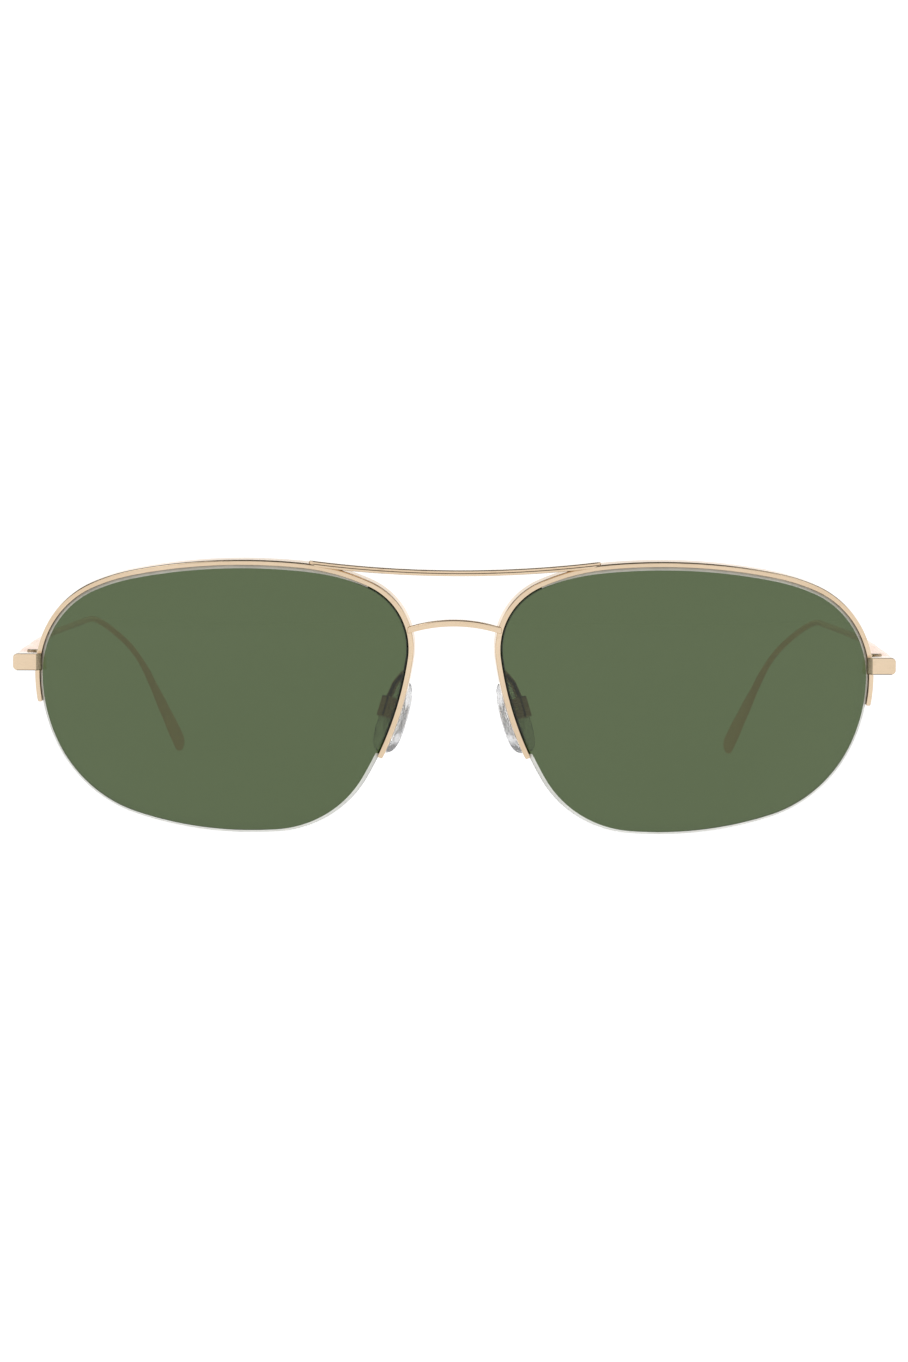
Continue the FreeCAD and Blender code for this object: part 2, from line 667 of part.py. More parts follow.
def one_solid(shape, name):
    solids = shape.Solids
    if len(solids) != 1 or not solids[0].isValid():
        print("CHECK", name, len(solids), "solids, valid:", [s.isValid() for s in solids])
    return max(solids, key=lambda s: s.Volume)


def write(name, solid):
    solid = solid.copy()
    solid.translate(TO_ORIGIN)
    solid.exportStep("parts/%s.step" % name)
    box = solid.BoundBox
    print("%-20s %8.2f mm3   x %7.2f %7.2f  y %7.2f %7.2f  z %6.2f %6.2f"
          % (name, solid.Volume, box.XMin, box.XMax, box.YMin, box.YMax, box.ZMin, box.ZMax))


os.makedirs("parts", exist_ok=True)
for name, make in SINGLES.items():
    write(name, one_solid(make(), name))
for name, make in PAIRS.items():
    right = one_solid(make(), name)
    write("right_" + name, right)
    write("left_" + name, one_solid(mirrored(right), name))
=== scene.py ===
import json
import math

import bmesh
import bpy
from mathutils import Matrix, Vector

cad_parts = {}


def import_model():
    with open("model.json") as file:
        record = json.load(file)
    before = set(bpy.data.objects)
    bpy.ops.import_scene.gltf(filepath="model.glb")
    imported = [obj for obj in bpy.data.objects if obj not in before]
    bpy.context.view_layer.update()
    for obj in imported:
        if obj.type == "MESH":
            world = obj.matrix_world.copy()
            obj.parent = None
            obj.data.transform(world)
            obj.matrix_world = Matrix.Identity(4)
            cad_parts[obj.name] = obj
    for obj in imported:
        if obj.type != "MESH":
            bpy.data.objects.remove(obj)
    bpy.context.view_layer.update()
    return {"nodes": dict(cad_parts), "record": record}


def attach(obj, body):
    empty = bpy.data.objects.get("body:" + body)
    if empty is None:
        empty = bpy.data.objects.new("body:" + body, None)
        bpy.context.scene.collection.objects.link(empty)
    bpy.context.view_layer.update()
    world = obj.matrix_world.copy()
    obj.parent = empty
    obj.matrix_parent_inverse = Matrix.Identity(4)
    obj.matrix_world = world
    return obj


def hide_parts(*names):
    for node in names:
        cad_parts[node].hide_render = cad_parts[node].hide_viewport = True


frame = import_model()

MM = 0.001
FULL_TURN = 2.0 * math.pi
NODES = frame["nodes"]
SIDES = {"right": 1.0, "left": -1.0}

# ---- driving values, in millimetres and degrees ------------------------------------------------
# The glasses are laid out with Y = 0 at the front of the lenses, then moved to their origin.
TO_ORIGIN = Vector((0.0, -69.25, 0.16))

LENS_CENTRE = Vector((37.2, 0.0, 22.55))
LENS_TILT = math.radians(6.0)
LENS_WRAP = math.radians(6.0)
LENS_TURN = Matrix.Rotation(LENS_TILT, 3, "X") @ Matrix.Rotation(LENS_WRAP, 3, "Z")
LENS_RADIUS = 88.0
LENS_THICK = 2.1
LENS_BEVEL = 0.48
BACK_BEVEL = 0.40
NASAL_BEVEL = 0.14                     # front bevel beside the nose, where no pale ring shows
LENS_RINGS = 16                        # rings of faces from the middle of a lens to its bevel
BEVEL_CLOSES = 4.0                     # degrees of heading past the rim's end to reach it
BEVEL_OPENS = (-334.0, 18.0)           # heading where it starts to widen again, and over how much

LENS_SPACING = 0.8                     # steps along the edge of the lens
WIRE_SPACING = 0.6                     # and along the rim and the cord

# The lens edge is a closed chain of tangent arcs, clockwise from the nasal end of the top edge
# as seen from in front: radius, and how far the edge turns. The radii given as None close it.
EDGE_START = (-12.29, 20.29)
EDGE_HEADING = 5.5
EDGE_ARCS = [(None, 18.5), (33.0, 12.0), (16.0, 65.0), (25.75, 25.5), (21.18, 49.0),
             (None, 20.0), (17.83, 55.5), (54.16, 22.0), (11.26, 72.5), (32.08, 20.0)]

NASAL_RIM_HEADING = -244.5             # nasal end of the rim
RIM_HEADINGS = (NASAL_RIM_HEADING, -460.1)       # over the top to the temporal end
RIM_GAP = 0.05
RIM_WIDE = 0.80
RIM_PROUD = 0.15
RIM_OUTER_ROUND = 0.20
RIM_INNER_ROUND = 0.06
GROOVE_DEEP = 0.45
GROOVE_WIDE = 0.62
CORD_HEADINGS = (-95.5, -249.1)
CORD_RADIUS = 0.25
CORD_PROUD = 0.12
CORD_SIDES = 12

# Rims and bars are rounded off at these distances from their ends, by these amounts.
END_STEPS = (0.0, 0.08, 0.20)
END_EASE = (0.28, 0.12, 0.03)

# Half length, height of the top at the ends and in the middle, tall, Y of the front face at the
# ends and in the middle, deep.
BROW_BAR = (23.2, 44.15, 42.75, 0.95, -0.05, -1.45, 1.7)
BRIDGE = (7.62, 33.48, 34.80, 1.10, 1.24, 0.15, 1.7)
BROW_BAR_ROUND = 0.20
BRIDGE_ROUND = 0.26
BAR_STEPS = 56
LINE_SHARE = 0.48                      # place of the brow bar's fine line, down from its top
LINE_HALF = 0.08
LINE_DEEP = 0.06

END_INNER = 66.6
END_LAP = 67.4
END_OUTER = 71.05
END_FRONT = 6.60
END_BACK = 11.20
END_LOW = 25.90
END_HIGH = 28.60
END_RAMP = 0.75                        # how far back the bevelled lap runs
END_LAP_DEEP = 1.6
END_LAP_INNER = 67.2
END_WALL = 67.95                       # inner face of the part behind the lap
END_WALL_START = 2.2
END_ROUND = 0.70                       # along the outer side
END_EDGES = 0.11                       # on all other sharp edges

TEMPLE_ROUTE = [Vector((70.32, 11.28, 27.25)), Vector((69.5, 45.0, 29.1)), Vector((66.8, 105.0, 28.5)),
                Vector((60.5, 120.5, 20.5)), Vector((53.5, 139.4, 0.45))]
TEMPLE_BENDS = [300.0, 38.0, 42.0]
# Distance along the temple (below zero: from its tip), half width, half height, squareness.
TEMPLE_SHAPE = [
    (0.00, 0.56, 1.14, 6.0),
    (0.12, 0.62, 1.20, 6.0),
    (5.20, 0.62, 1.20, 6.0),
    (14.7, 0.58, 0.95, 4.0),
    (31.0, 0.55, 0.55, 2.0),
    (-28.0, 0.55, 0.56, 2.0),
    (-20.0, 0.53, 0.85, 2.6),
    (-12.0, 0.47, 1.40, 3.4),
    (-5.0, 0.45, 1.78, 4.0),
    (-1.8, 0.45, 1.80, 4.0),
]
TIP_ROUND = 1.8
TIP_TALL = 1.8                         # half height where the rounded tip starts
TIP_THIN = 0.55                        # thickness at the very tip, as a share of the blade's
TIP_TURNS = (0, 15, 30, 45, 57, 68, 77, 84, 88.5)      # its sections, in degrees round the tip
TEMPLE_SPACING = 0.9                   # between its sections, and between points round its bends
BEND_SPACING = 0.8
TEMPLE_SIDES = 28

PAD_CENTRE = Vector((9.90, 9.50, 18.60))
PAD_SPLAY = math.radians(33.0)
PAD_LEAN = math.radians(23.0)
PAD_LONG = 12.2
PAD_WIDE = 7.0
PAD_THICK = 2.1
PAD_SIDES = 56
PAD_LEVELS = 14
PAD_CROWN = 4.0                        # squareness of the pad seen edge on
PAD_SQUARE = (0.75, 0.80)              # squareness of its outline, across and along
PAD_TAPER = 0.10                       # how much narrower it is at the top than in the middle
PAD_DIP = (0.66, 0.16, 0.35)           # place along the half length, depth and half width

# Camera: a 100 mm lens, looking slightly down at the standing glasses.
CAMERA_LENS = 100.0
CAMERA_AWAY = 602.4
CAMERA_DOWN = math.radians(4.55)
CAMERA_ROLL = math.radians(0.3)
CAMERA_TARGET = Vector((-0.05, 0.0, 25.05))
CAMERA_SENSOR = 36.0
CAMERA_CLIPS = (0.01, 50.0)            # metres

# Sine of the height above the horizon and brightness there: the white walls' top edge, and the
# dark ceiling's.
ROOM_BAND = ((0.36, 1.0), (0.46, 0.10))
ROOM_STRENGTH = 1.06

# Floor, in metres: half its width, how far back it is flat, the radius it curves up with, and the
# height of the wall.
SWEEP = (6.0, 2.4, 0.25, 0.62)
SWEEP_STEPS = 12


# ---- places ------------------------------------------------------------------------------------
def world(point, side=1.0):
    """A point of the right-hand layout in the object's own metres, mirrored for the left side."""
    x, y, z = Vector(point) + TO_ORIGIN
    return Vector((side * x, y, z)) * MM


def lens_arcs():
    """Centre, radius, first and last heading of each arc of the lens edge."""
    heading = math.radians(EDGE_HEADING)
    steps = []
    for radius, turn in EDGE_ARCS:
        steps.append((radius, heading, heading - math.radians(turn)))
        heading -= math.radians(turn)
    reach = [(math.sin(a) - math.sin(b), math.cos(b) - math.cos(a)) for _, a, b in steps]
    free = [i for i, step in enumerate(steps) if step[0] is None]
    rest_x = sum(steps[i][0] * reach[i][0] for i in range(len(steps)) if i not in free)
    rest_z = sum(steps[i][0] * reach[i][1] for i in range(len(steps)) if i not in free)
    (ax, az), (bx, bz) = reach[free[0]], reach[free[1]]
    det = ax * bz - bx * az
    closing = {free[0]: (bx * rest_z - bz * rest_x) / det, free[1]: (az * rest_x - ax * rest_z) / det}
    arcs = []
    x, z = EDGE_START
    for i, (radius, a, b) in enumerate(steps):
        radius = closing.get(i, radius)
        centre = (x + radius * math.sin(a), z - radius * math.cos(a))
        arcs.append((centre, radius, a, b))
        x = centre[0] - radius * math.sin(b)
        z = centre[1] + radius * math.cos(b)
    return arcs


LENS_ARCS = lens_arcs()


def edge_stations(start, end, spacing):
    """Arc centre, radius and heading at even steps along the lens edge, between two headings."""
    first, last = math.radians(start), math.radians(end)
    stations = []
    for lap in (0.0, FULL_TURN):
        for centre, radius, a, b in LENS_ARCS:
            top, bottom = min(a - lap, first), max(b - lap, last)
            if top - bottom < 1e-6:
                continue
            steps = math.ceil((top - bottom) * radius / spacing)
            stations += [(centre, radius, top - (top - bottom) * i / steps) for i in range(steps)]
            closing = (centre, radius, bottom)
    return stations + [closing]


def off_edge(station, offset):
    """The point of the lens's own plane this far outside its edge."""
    (cx, cz), radius, heading = station
    return cx - (radius + offset) * math.sin(heading), cz + (radius + offset) * math.cos(heading)


def bevel_at(station):
    """Width of the front bevel: narrow beside the nose, full all round the rest of the lens."""
    heading = math.degrees(station[2])
    start, length = BEVEL_OPENS
    closed = min(1.0, max(0.0, (NASAL_RIM_HEADING - heading) / BEVEL_CLOSES))
    opened = min(1.0, max(0.0, (start - heading) / length))
    return LENS_BEVEL + (NASAL_BEVEL - LENS_BEVEL) * max(0.0, closed - opened)


def on_lens(side, x, z, depth):
    """A point this deep behind the lens's front sphere."""
    y = LENS_RADIUS - math.sqrt((LENS_RADIUS - depth) ** 2 - x * x - z * z)
    return world(LENS_CENTRE + LENS_TURN @ Vector((x, y, z)), side)


def arc_height(half, end, middle, u):
    """Height at u of the arc from (-half, end) over (0, middle) to (half, end)."""
    rise = middle - end
    radius = (half * half + rise * rise) / (2.0 * abs(rise))
    return middle - math.copysign(radius - math.sqrt(radius * radius - u * u), rise)


def route(points, radii, spacing):
    """Points along straight runs joined by tangent arcs, with even steps along each arc."""
    line = [points[0]]
    for before, corner, after, radius in zip(points, points[1:], points[2:], radii):
        back, ahead = (before - corner).normalized(), (after - corner).normalized()
        half = back.angle(ahead) / 2.0
        inward = (back + ahead).normalized()
        centre = corner + inward * (radius / math.sin(half))
        first = corner + back * (radius / math.tan(half)) - centre
        last = corner + ahead * (radius / math.tan(half)) - centre
        steps = max(4, math.ceil(first.angle(last) * radius / spacing))
        line += [centre + first.slerp(last, i / steps) * first.length for i in range(steps + 1)]
    line.append(points[-1])
    return line


def spaced(line, distances):
    """Points and directions at these distances along a line of points, and the line's length."""
    lengths = [0.0]
    for a, b in zip(line, line[1:]):
        lengths.append(lengths[-1] + (b - a).length)
    found = []
    i = 0
    for distance in distances:
        while i < len(line) - 2 and lengths[i + 1] < distance:
            i += 1
        run = line[i + 1] - line[i]
        share = (distance - lengths[i]) / max(run.length, 1e-9)
        found.append((line[i] + run * share, run.normalized()))
    return found, lengths[-1]


# ---- mesh helpers ------------------------------------------------------------------------------
def finish_mesh(name, work, body, material, crease=38.0):
    """Turns a bmesh into a piece on its body, smooth except over edges sharper than the crease."""
    bmesh.ops.recalc_face_normals(work, faces=work.faces)
    mesh = bpy.data.meshes.new(name)
    work.to_mesh(mesh)
    work.free()
    for face in mesh.polygons:
        face.use_smooth = True
    mesh.set_sharp_from_angle(angle=math.radians(crease))
    materials = material if isinstance(material, list) else [material]
    for each in materials:
        mesh.materials.append(each)
    piece = bpy.data.objects.new(name, mesh)
    bpy.context.scene.collection.objects.link(piece)
    piece.modifiers.new("flat faces", "WEIGHTED_NORMAL").keep_sharp = True
    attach(piece, body)
    return piece


def skin(work, rings):
    """Quads between neighbouring rings of points, with flat caps on both ends."""
    rows = [[work.verts.new(p) for p in ring] for ring in rings]
    count = len(rows[0])
    for low, high in zip(rows, rows[1:]):
        for i in range(count):
            j = (i + 1) % count
            work.faces.new((low[i], low[j], high[j], high[i]))
    work.faces.new(rows[0])
    work.faces.new(rows[-1])


def soften_ends(rings):
    """Draws the last rings at each end in towards their middles, rounding the end off."""
    for place, amount in enumerate(END_EASE):
        for ring_at in (place, -1 - place):
            ring = rings[ring_at]
            middle = sum(ring, Vector()) / len(ring)
            rings[ring_at] = [p + (middle - p).normalized() * amount * MM for p in ring]


def rounded(corners, steps=4):
    """A closed outline of (u, v, radius) corners. Those with a radius are right angles, rounded."""
    points = []
    for i, (u, v, radius) in enumerate(corners):
        corner = Vector((u, v))
        if radius == 0.0:
            points.append(corner)
            continue
        back = (Vector(corners[i - 1][:2]) - corner).normalized()
        ahead = (Vector(corners[(i + 1) % len(corners)][:2]) - corner).normalized()
        centre = corner + (back + ahead) * radius
        for k in range(steps + 1):
            turn = math.pi / 2.0 * k / steps
            points.append(centre - ahead * radius * math.cos(turn) - back * radius * math.sin(turn))
    return points


# ---- shader helpers ----------------------------------------------------------------------------
def new_material(name):
    """A material with a Principled shader wired to its output."""
    material = bpy.data.materials.new(name)
    material.use_nodes = True
    tree = material.node_tree
    return material, tree, tree.nodes["Principled BSDF"]


def add_noise(tree, scale, detail, stretch=(1.0, 1.0, 1.0)):
    """Noise in the object's own millimetres. Returns its 0 to 1 output."""
    where = tree.nodes.new("ShaderNodeTexCoord")
    sizing = tree.nodes.new("ShaderNodeMapping")
    sizing.inputs["Scale"].default_value = [s / MM for s in stretch]
    noise = tree.nodes.new("ShaderNodeTexNoise")
    noise.inputs["Scale"].default_value = scale
    noise.inputs["Detail"].default_value = detail
    tree.links.new(where.outputs["Object"], sizing.inputs["Vector"])
    tree.links.new(sizing.outputs["Vector"], noise.inputs["Vector"])
    return noise.outputs["Fac"]


def spread(tree, source, low, high, start=0.3, end=0.7):
    """Maps a 0 to 1 pattern to the range low to high."""
    node = tree.nodes.new("ShaderNodeMapRange")
    node.inputs["From Min"].default_value = start
    node.inputs["From Max"].default_value = end
    node.inputs["To Min"].default_value = low
    node.inputs["To Max"].default_value = high
    tree.links.new(source, node.inputs["Value"])
    return node.outputs["Result"]


def mix_colours(tree, source, first, second):
    """A colour between two others by a 0 to 1 pattern. Either may be a socket."""
    node = tree.nodes.new("ShaderNodeMix")
    node.data_type = "RGBA"
    tree.links.new(source, node.inputs["Factor"])
    for name, colour in (("A", first), ("B", second)):
        if isinstance(colour, tuple):
            node.inputs[name].default_value = (*colour, 1.0)
        else:
            tree.links.new(colour, node.inputs[name])
    return node.outputs["Result"]


def add_bump(tree, shader, height, distance, strength=1.0):
    """Bump on the shader from a 0 to 1 pattern, with its full height in millimetres."""
    bump = tree.nodes.new("ShaderNodeBump")
    bump.inputs["Strength"].default_value = strength
    bump.inputs["Distance"].default_value = distance * MM
    tree.links.new(height, bump.inputs["Height"])
    tree.links.new(bump.outputs["Normal"], shader.inputs["Normal"])


# ---- materials ---------------------------------------------------------------------------------
def gold_material(name, bright, deep, worn, smooth, rough):
    """Plated metal: slow changes of tone, fine polishing marks, worn spots and worn edges."""
    material, tree, shader = new_material(name)
    shader.inputs["Metallic"].default_value = 1.0
    tone = spread(tree, add_noise(tree, 0.10, 3.0), 0.0, 1.0)
    plating = mix_colours(tree, tone, deep, bright)
    spots = spread(tree, add_noise(tree, 0.55, 5.0), 0.0, 0.55, start=0.62, end=0.78)
    shape = tree.nodes.new("ShaderNodeNewGeometry")
    edges = spread(tree, shape.outputs["Pointiness"], 0.0, 0.45, start=0.54, end=0.70)
    wear = tree.nodes.new("ShaderNodeMath")
    wear.operation = "MAXIMUM"
    tree.links.new(spots, wear.inputs[0])
    tree.links.new(edges, wear.inputs[1])
    tree.links.new(mix_colours(tree, wear.outputs[0], plating, worn), shader.inputs["Base Color"])
    marks = add_noise(tree, 2.4, 6.0, stretch=(0.2, 1.0, 2.0))
    tree.links.new(spread(tree, marks, smooth, rough), shader.inputs["Roughness"])
    add_bump(tree, shader, marks, 0.003, 0.5)
    return material


def lens_material():
    """Solid green sunglass lens with a faint unevenness in its polish."""
    material, tree, shader = new_material("green_lens")
    tone = spread(tree, add_noise(tree, 0.02, 2.0), 0.0, 1.0)
    tree.links.new(mix_colours(tree, tone, (0.076, 0.111, 0.044), (0.080, 0.115, 0.047)),
                   shader.inputs["Base Color"])
    shader.inputs["Transmission Weight"].default_value = 1.0
    shader.inputs["IOR"].default_value = 1.45
    haze = add_noise(tree, 0.05, 4.0)
    tree.links.new(spread(tree, haze, 0.0, 0.010), shader.inputs["Roughness"])
    return material


def edge_and_highlight_material():
    """The lens's edge: pale and frosted, with a fine grain. The pale colour is partly the edge's own finish
    and partly a painted highlight standing in for the white shine of the polished bevel.
    """
    material, tree, shader = new_material("lens_edge_and_painted_highlight")
    grain = add_noise(tree, 3.0, 4.0)
    tone = spread(tree, add_noise(tree, 0.4, 3.0), 0.0, 1.0)
    tree.links.new(mix_colours(tree, tone, (0.66, 0.66, 0.62), (0.78, 0.78, 0.74)),
                   shader.inputs["Base Color"])
    shader.inputs["Transmission Weight"].default_value = 0.15
    tree.links.new(spread(tree, grain, 0.30, 0.50), shader.inputs["Roughness"])
    add_bump(tree, shader, grain, 0.01, 0.4)
    return material


def nylon_material():
    """Translucent nylon line with a slight sheen."""
    material, tree, shader = new_material("clear_nylon")
    tone = spread(tree, add_noise(tree, 0.8, 3.0), 0.0, 1.0)
    tree.links.new(mix_colours(tree, tone, (0.62, 0.62, 0.59), (0.76, 0.76, 0.73)),
                   shader.inputs["Base Color"])
    shader.inputs["Transmission Weight"].default_value = 0.35
    tree.links.new(spread(tree, add_noise(tree, 3.0, 2.0), 0.20, 0.36), shader.inputs["Roughness"])
    return material


def silicone_material():
    """Clear soft silicone with a satin skin."""
    material, tree, shader = new_material("clear_silicone")
    tone = spread(tree, add_noise(tree, 0.3, 3.0), 0.0, 1.0)
    tree.links.new(mix_colours(tree, tone, (0.90, 0.90, 0.91), (0.96, 0.96, 0.97)),
                   shader.inputs["Base Color"])
    shader.inputs["Transmission Weight"].default_value = 0.88
    shader.inputs["IOR"].default_value = 1.41
    skin_grain = add_noise(tree, 4.0, 4.0)
    tree.links.new(spread(tree, skin_grain, 0.08, 0.24), shader.inputs["Roughness"])
    add_bump(tree, shader, skin_grain, 0.01, 0.4)
    return material


def sweep_material():
    """White studio sweep that gives off most of its own light, as a light table does."""
    material, tree, shader = new_material("white_sweep")
    tone = spread(tree, add_noise(tree, 0.01, 2.0), 0.0, 1.0)
    tree.links.new(mix_colours(tree, tone, (0.24, 0.24, 0.24), (0.27, 0.27, 0.27)),
                   shader.inputs["Base Color"])
    shader.inputs["Roughness"].default_value = 0.9
    shader.inputs["Specular IOR Level"].default_value = 0.1
    shader.inputs["Emission Color"].default_value = (1.0, 1.0, 1.0, 1.0)
    shader.inputs["Emission Strength"].default_value = 0.95
    return material


# ---- pieces ------------------------------------------------------------------------------------
def make_lens(name, side, glass):
    """A curved shell: two spherical faces joined by bevels and a grooved edge, whose pale colour is partly
    their own finish and partly a painted highlight.
    """
    stations = edge_stations(EDGE_HEADING, EDGE_HEADING - 360.0, LENS_SPACING)[:-1]
    middle = LENS_THICK / 2.0
    wall = [(0.0, middle - GROOVE_WIDE / 2.0),
            (-GROOVE_DEEP, middle - GROOVE_WIDE / 2.0), (-GROOVE_DEEP, middle + GROOVE_WIDE / 2.0),
            (0.0, middle + GROOVE_WIDE / 2.0), (0.0, LENS_THICK - BACK_BEVEL), (-BACK_BEVEL, LENS_THICK)]
    shares = [1.0 - i / LENS_RINGS for i in range(1, LENS_RINGS)]
    inset = [off_edge(s, -bevel_at(s)) for s in stations]
    rings = [[on_lens(side, x * t, z * t, 0.0) for x, z in inset] for t in reversed(shares)]
    rings.append([on_lens(side, x, z, 0.0) for x, z in inset])
    rings.append([on_lens(side, *off_edge(s, 0.0), bevel_at(s)) for s in stations])
    rings += [[on_lens(side, *off_edge(s, offset), depth) for s in stations] for offset, depth in wall]
    inset = [off_edge(s, -BACK_BEVEL) for s in stations]
    rings += [[on_lens(side, x * t, z * t, LENS_THICK) for x, z in inset] for t in shares]
    work = bmesh.new()
    rows = [[work.verts.new(p) for p in ring] for ring in rings]
    edge_rows = range(len(shares), len(shares) + len(wall) + 1)
    for r, (low, high) in enumerate(zip(rows, rows[1:])):
        for i in range(len(low)):
            j = (i + 1) % len(low)
            face = work.faces.new((low[i], low[j], high[j], high[i]))
            # Beside the nose the pale edge colour, partly a painted highlight, is left off and the edge
            # stays plain glass.
            beside_nose = BEVEL_OPENS[0] < math.degrees(stations[i][2]) < NASAL_RIM_HEADING
            face.material_index = 1 if r in edge_rows and not beside_nose else 0
    for row, depth in ((rows[0], 0.0), (rows[-1], LENS_THICK)):
        pole = work.verts.new(on_lens(side, 0.0, 0.0, depth))
        for i in range(len(row)):
            work.faces.new((row[i], row[(i + 1) % len(row)], pole))
    piece = finish_mesh(name + "_lens.ground", work, "front", glass, crease=20.0)
    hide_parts(name + "_lens")


def make_rim(name, side, gold):
    """The eyewire: a band round the lens with soft outer corners and a channel for the liner."""
    front, back = -RIM_PROUD, LENS_THICK + RIM_PROUD
    middle = LENS_THICK / 2.0
    outer, inner = RIM_GAP + RIM_WIDE, RIM_GAP
    low, high = middle - GROOVE_WIDE / 2.0, middle + GROOVE_WIDE / 2.0
    section = rounded([
        (inner, front, RIM_INNER_ROUND), (outer, front, RIM_OUTER_ROUND),
        (outer, back, RIM_OUTER_ROUND), (inner, back, RIM_INNER_ROUND),
        (inner, high, 0.0), (inner + GROOVE_DEEP, high, 0.0),
        (inner + GROOVE_DEEP, low, 0.0), (inner, low, 0.0),
    ])
    stations = edge_stations(*RIM_HEADINGS, WIRE_SPACING)
    (first_centre, first_radius, first), (last_centre, last_radius, last) = stations[0], stations[-1]
    stations[:1] = [(first_centre, first_radius, first - step / first_radius) for step in END_STEPS]
    stations[-1:] = [(last_centre, last_radius, last + step / last_radius) for step in reversed(END_STEPS)]
    rings = [[on_lens(side, *off_edge(s, u), v) for u, v in section] for s in stations]
    soften_ends(rings)
    work = bmesh.new()
    skin(work, rings)
    piece = finish_mesh(name + "_eyewire.rounded", work, "front", gold)
    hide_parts(name + "_eyewire")


def make_cord(name, side, nylon):
    """The round nylon line in the groove of the free lens edge."""
    stations = edge_stations(*CORD_HEADINGS, WIRE_SPACING)
    circle = [(CORD_RADIUS * math.cos(t), CORD_RADIUS * math.sin(t))
              for t in (FULL_TURN * i / CORD_SIDES for i in range(CORD_SIDES))]
    middle = LENS_THICK / 2.0
    rings = [[on_lens(side, *off_edge(s, CORD_PROUD - CORD_RADIUS + u), middle + v) for u, v in circle]
             for s in stations]
    work = bmesh.new()
    skin(work, rings)
    piece = finish_mesh(name + "_nylon_cord.round", work, "front", nylon)
    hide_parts(name + "_nylon_cord")


def make_bar(name, sizes, corner, lined, gold):
    """A bowed bar between the eyewires, rounded, and with a fine line along its front if asked."""
    half, z_end, z_middle, tall, y_end, y_middle, deep = sizes
    corners = [(0.0, 0.0), (deep, 0.0), (deep, -tall), (0.0, -tall)]
    section = rounded([(u, v, corner) for u, v in corners])
    if lined:
        line_at = -tall * LINE_SHARE
        section += [(0.0, line_at - LINE_HALF), (LINE_DEEP, line_at), (0.0, line_at + LINE_HALF)]
    places = [-half + 2.0 * half * i / BAR_STEPS for i in range(1, BAR_STEPS)]
    places = [step - half for step in END_STEPS] + places + [half - step for step in reversed(END_STEPS)]
    rings = []
    for x in places:
        y = arc_height(half, y_end, y_middle, x)
        z = arc_height(half, z_end, z_middle, x)
        rings.append([world((x, y + u, z + v)) for u, v in section])
    soften_ends(rings)
    work = bmesh.new()
    skin(work, rings)
    piece = finish_mesh(name + ".rounded", work, "front", gold)
    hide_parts(name)


def make_endpiece(name, side, gold):
    """The block at the temple end of the front, lapping over the eyewire with a bevel."""
    lap_back, wall = END_FRONT + END_LAP_DEEP, END_FRONT + END_WALL_START
    plan = [(END_INNER, END_FRONT + END_RAMP), (END_LAP, END_FRONT), (END_OUTER, END_FRONT),
            (END_OUTER, END_BACK), (END_WALL, END_BACK), (END_WALL, wall), (END_LAP_INNER, wall),
            (END_LAP_INNER, lap_back), (END_INNER, lap_back)]
    work = bmesh.new()
    rows = [[work.verts.new(world((x, y, z), side)) for x, y in plan] for z in (END_LOW, END_HIGH)]
    for i in range(len(plan)):
        j = (i + 1) % len(plan)
        work.faces.new((rows[0][i], rows[0][j], rows[1][j], rows[1][i]))
    for row in rows:
        work.faces.new(row)
    outer = abs(world((END_OUTER, 0.0, 0.0))[0])
    along = [e for e in work.edges
             if all(abs(abs(v.co.x) - outer) < 1e-7 for v in e.verts)
             and abs(e.verts[0].co.y - e.verts[1].co.y) > MM]
    bmesh.ops.bevel(work, geom=along, offset=END_ROUND * MM, segments=6, profile=0.5, affect="EDGES")
    sharp = [e for e in work.edges if len(e.link_faces) == 2 and e.calc_face_angle() > math.radians(30.0)]
    bmesh.ops.bevel(work, geom=sharp, offset=END_EDGES * MM, segments=3, profile=0.5,
                    affect="EDGES", clamp_overlap=True)
    piece = finish_mesh(name + "_endpiece.rounded", work, "front", gold)
    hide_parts(name + "_endpiece")


def temple_section(distance, length):
    """Half width, half height and squareness of the temple at this distance along it."""
    rows = [(d if d >= 0.0 else length + d, *rest) for d, *rest in TEMPLE_SHAPE]
    for low, high in zip(rows, rows[1:]):
        if distance <= high[0]:
            share = max(0.0, (distance - low[0]) / (high[0] - low[0]))
            share = share * share * (3.0 - 2.0 * share)
            return [a + (b - a) * share for a, b in zip(low[1:], high[1:])]
    return list(rows[-1][1:])


def make_temple(name, side, gold):
    """Flat at the hinge, then a round wire, then a blade that widens to its rounded tip."""
    line = route(TEMPLE_ROUTE, TEMPLE_BENDS, BEND_SPACING)
    _, length = spaced(line, [])
    tip = length - TIP_ROUND
    distances = [row[0] for row in TEMPLE_SHAPE[:2]]
    distances += [TEMPLE_SPACING * i for i in range(1, int(tip / TEMPLE_SPACING))]
    distances += [tip + TIP_ROUND * math.sin(math.radians(turn)) for turn in TIP_TURNS]
    places, _ = spaced(line, distances)
    rings = []
    for distance, (point, run) in zip(distances, places):
        wide, tall, square = temple_section(distance, length)
        if distance > tip:
            tall *= math.sqrt(1.0 - ((distance - tip) / TIP_ROUND) ** 2)
            wide *= TIP_THIN + (1.0 - TIP_THIN) * tall / TIP_TALL
        flat = Vector((run.y, -run.x, 0.0)).normalized()
        across = flat.cross(run)
        ring = []
        for i in range(TEMPLE_SIDES):
            turn = FULL_TURN * i / TEMPLE_SIDES
            c, s = math.cos(turn), math.sin(turn)
            u = math.copysign(abs(c) ** (2.0 / square), c) * wide
            w = math.copysign(abs(s) ** (2.0 / square), s) * tall
            ring.append(world(point + flat * u + across * w, side))
        rings.append(ring)
    work = bmesh.new()
    skin(work, rings)
    piece = finish_mesh(name + "_temple.smooth", work, name + "_temple", gold, crease=50.0)
    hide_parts(name + "_temple")


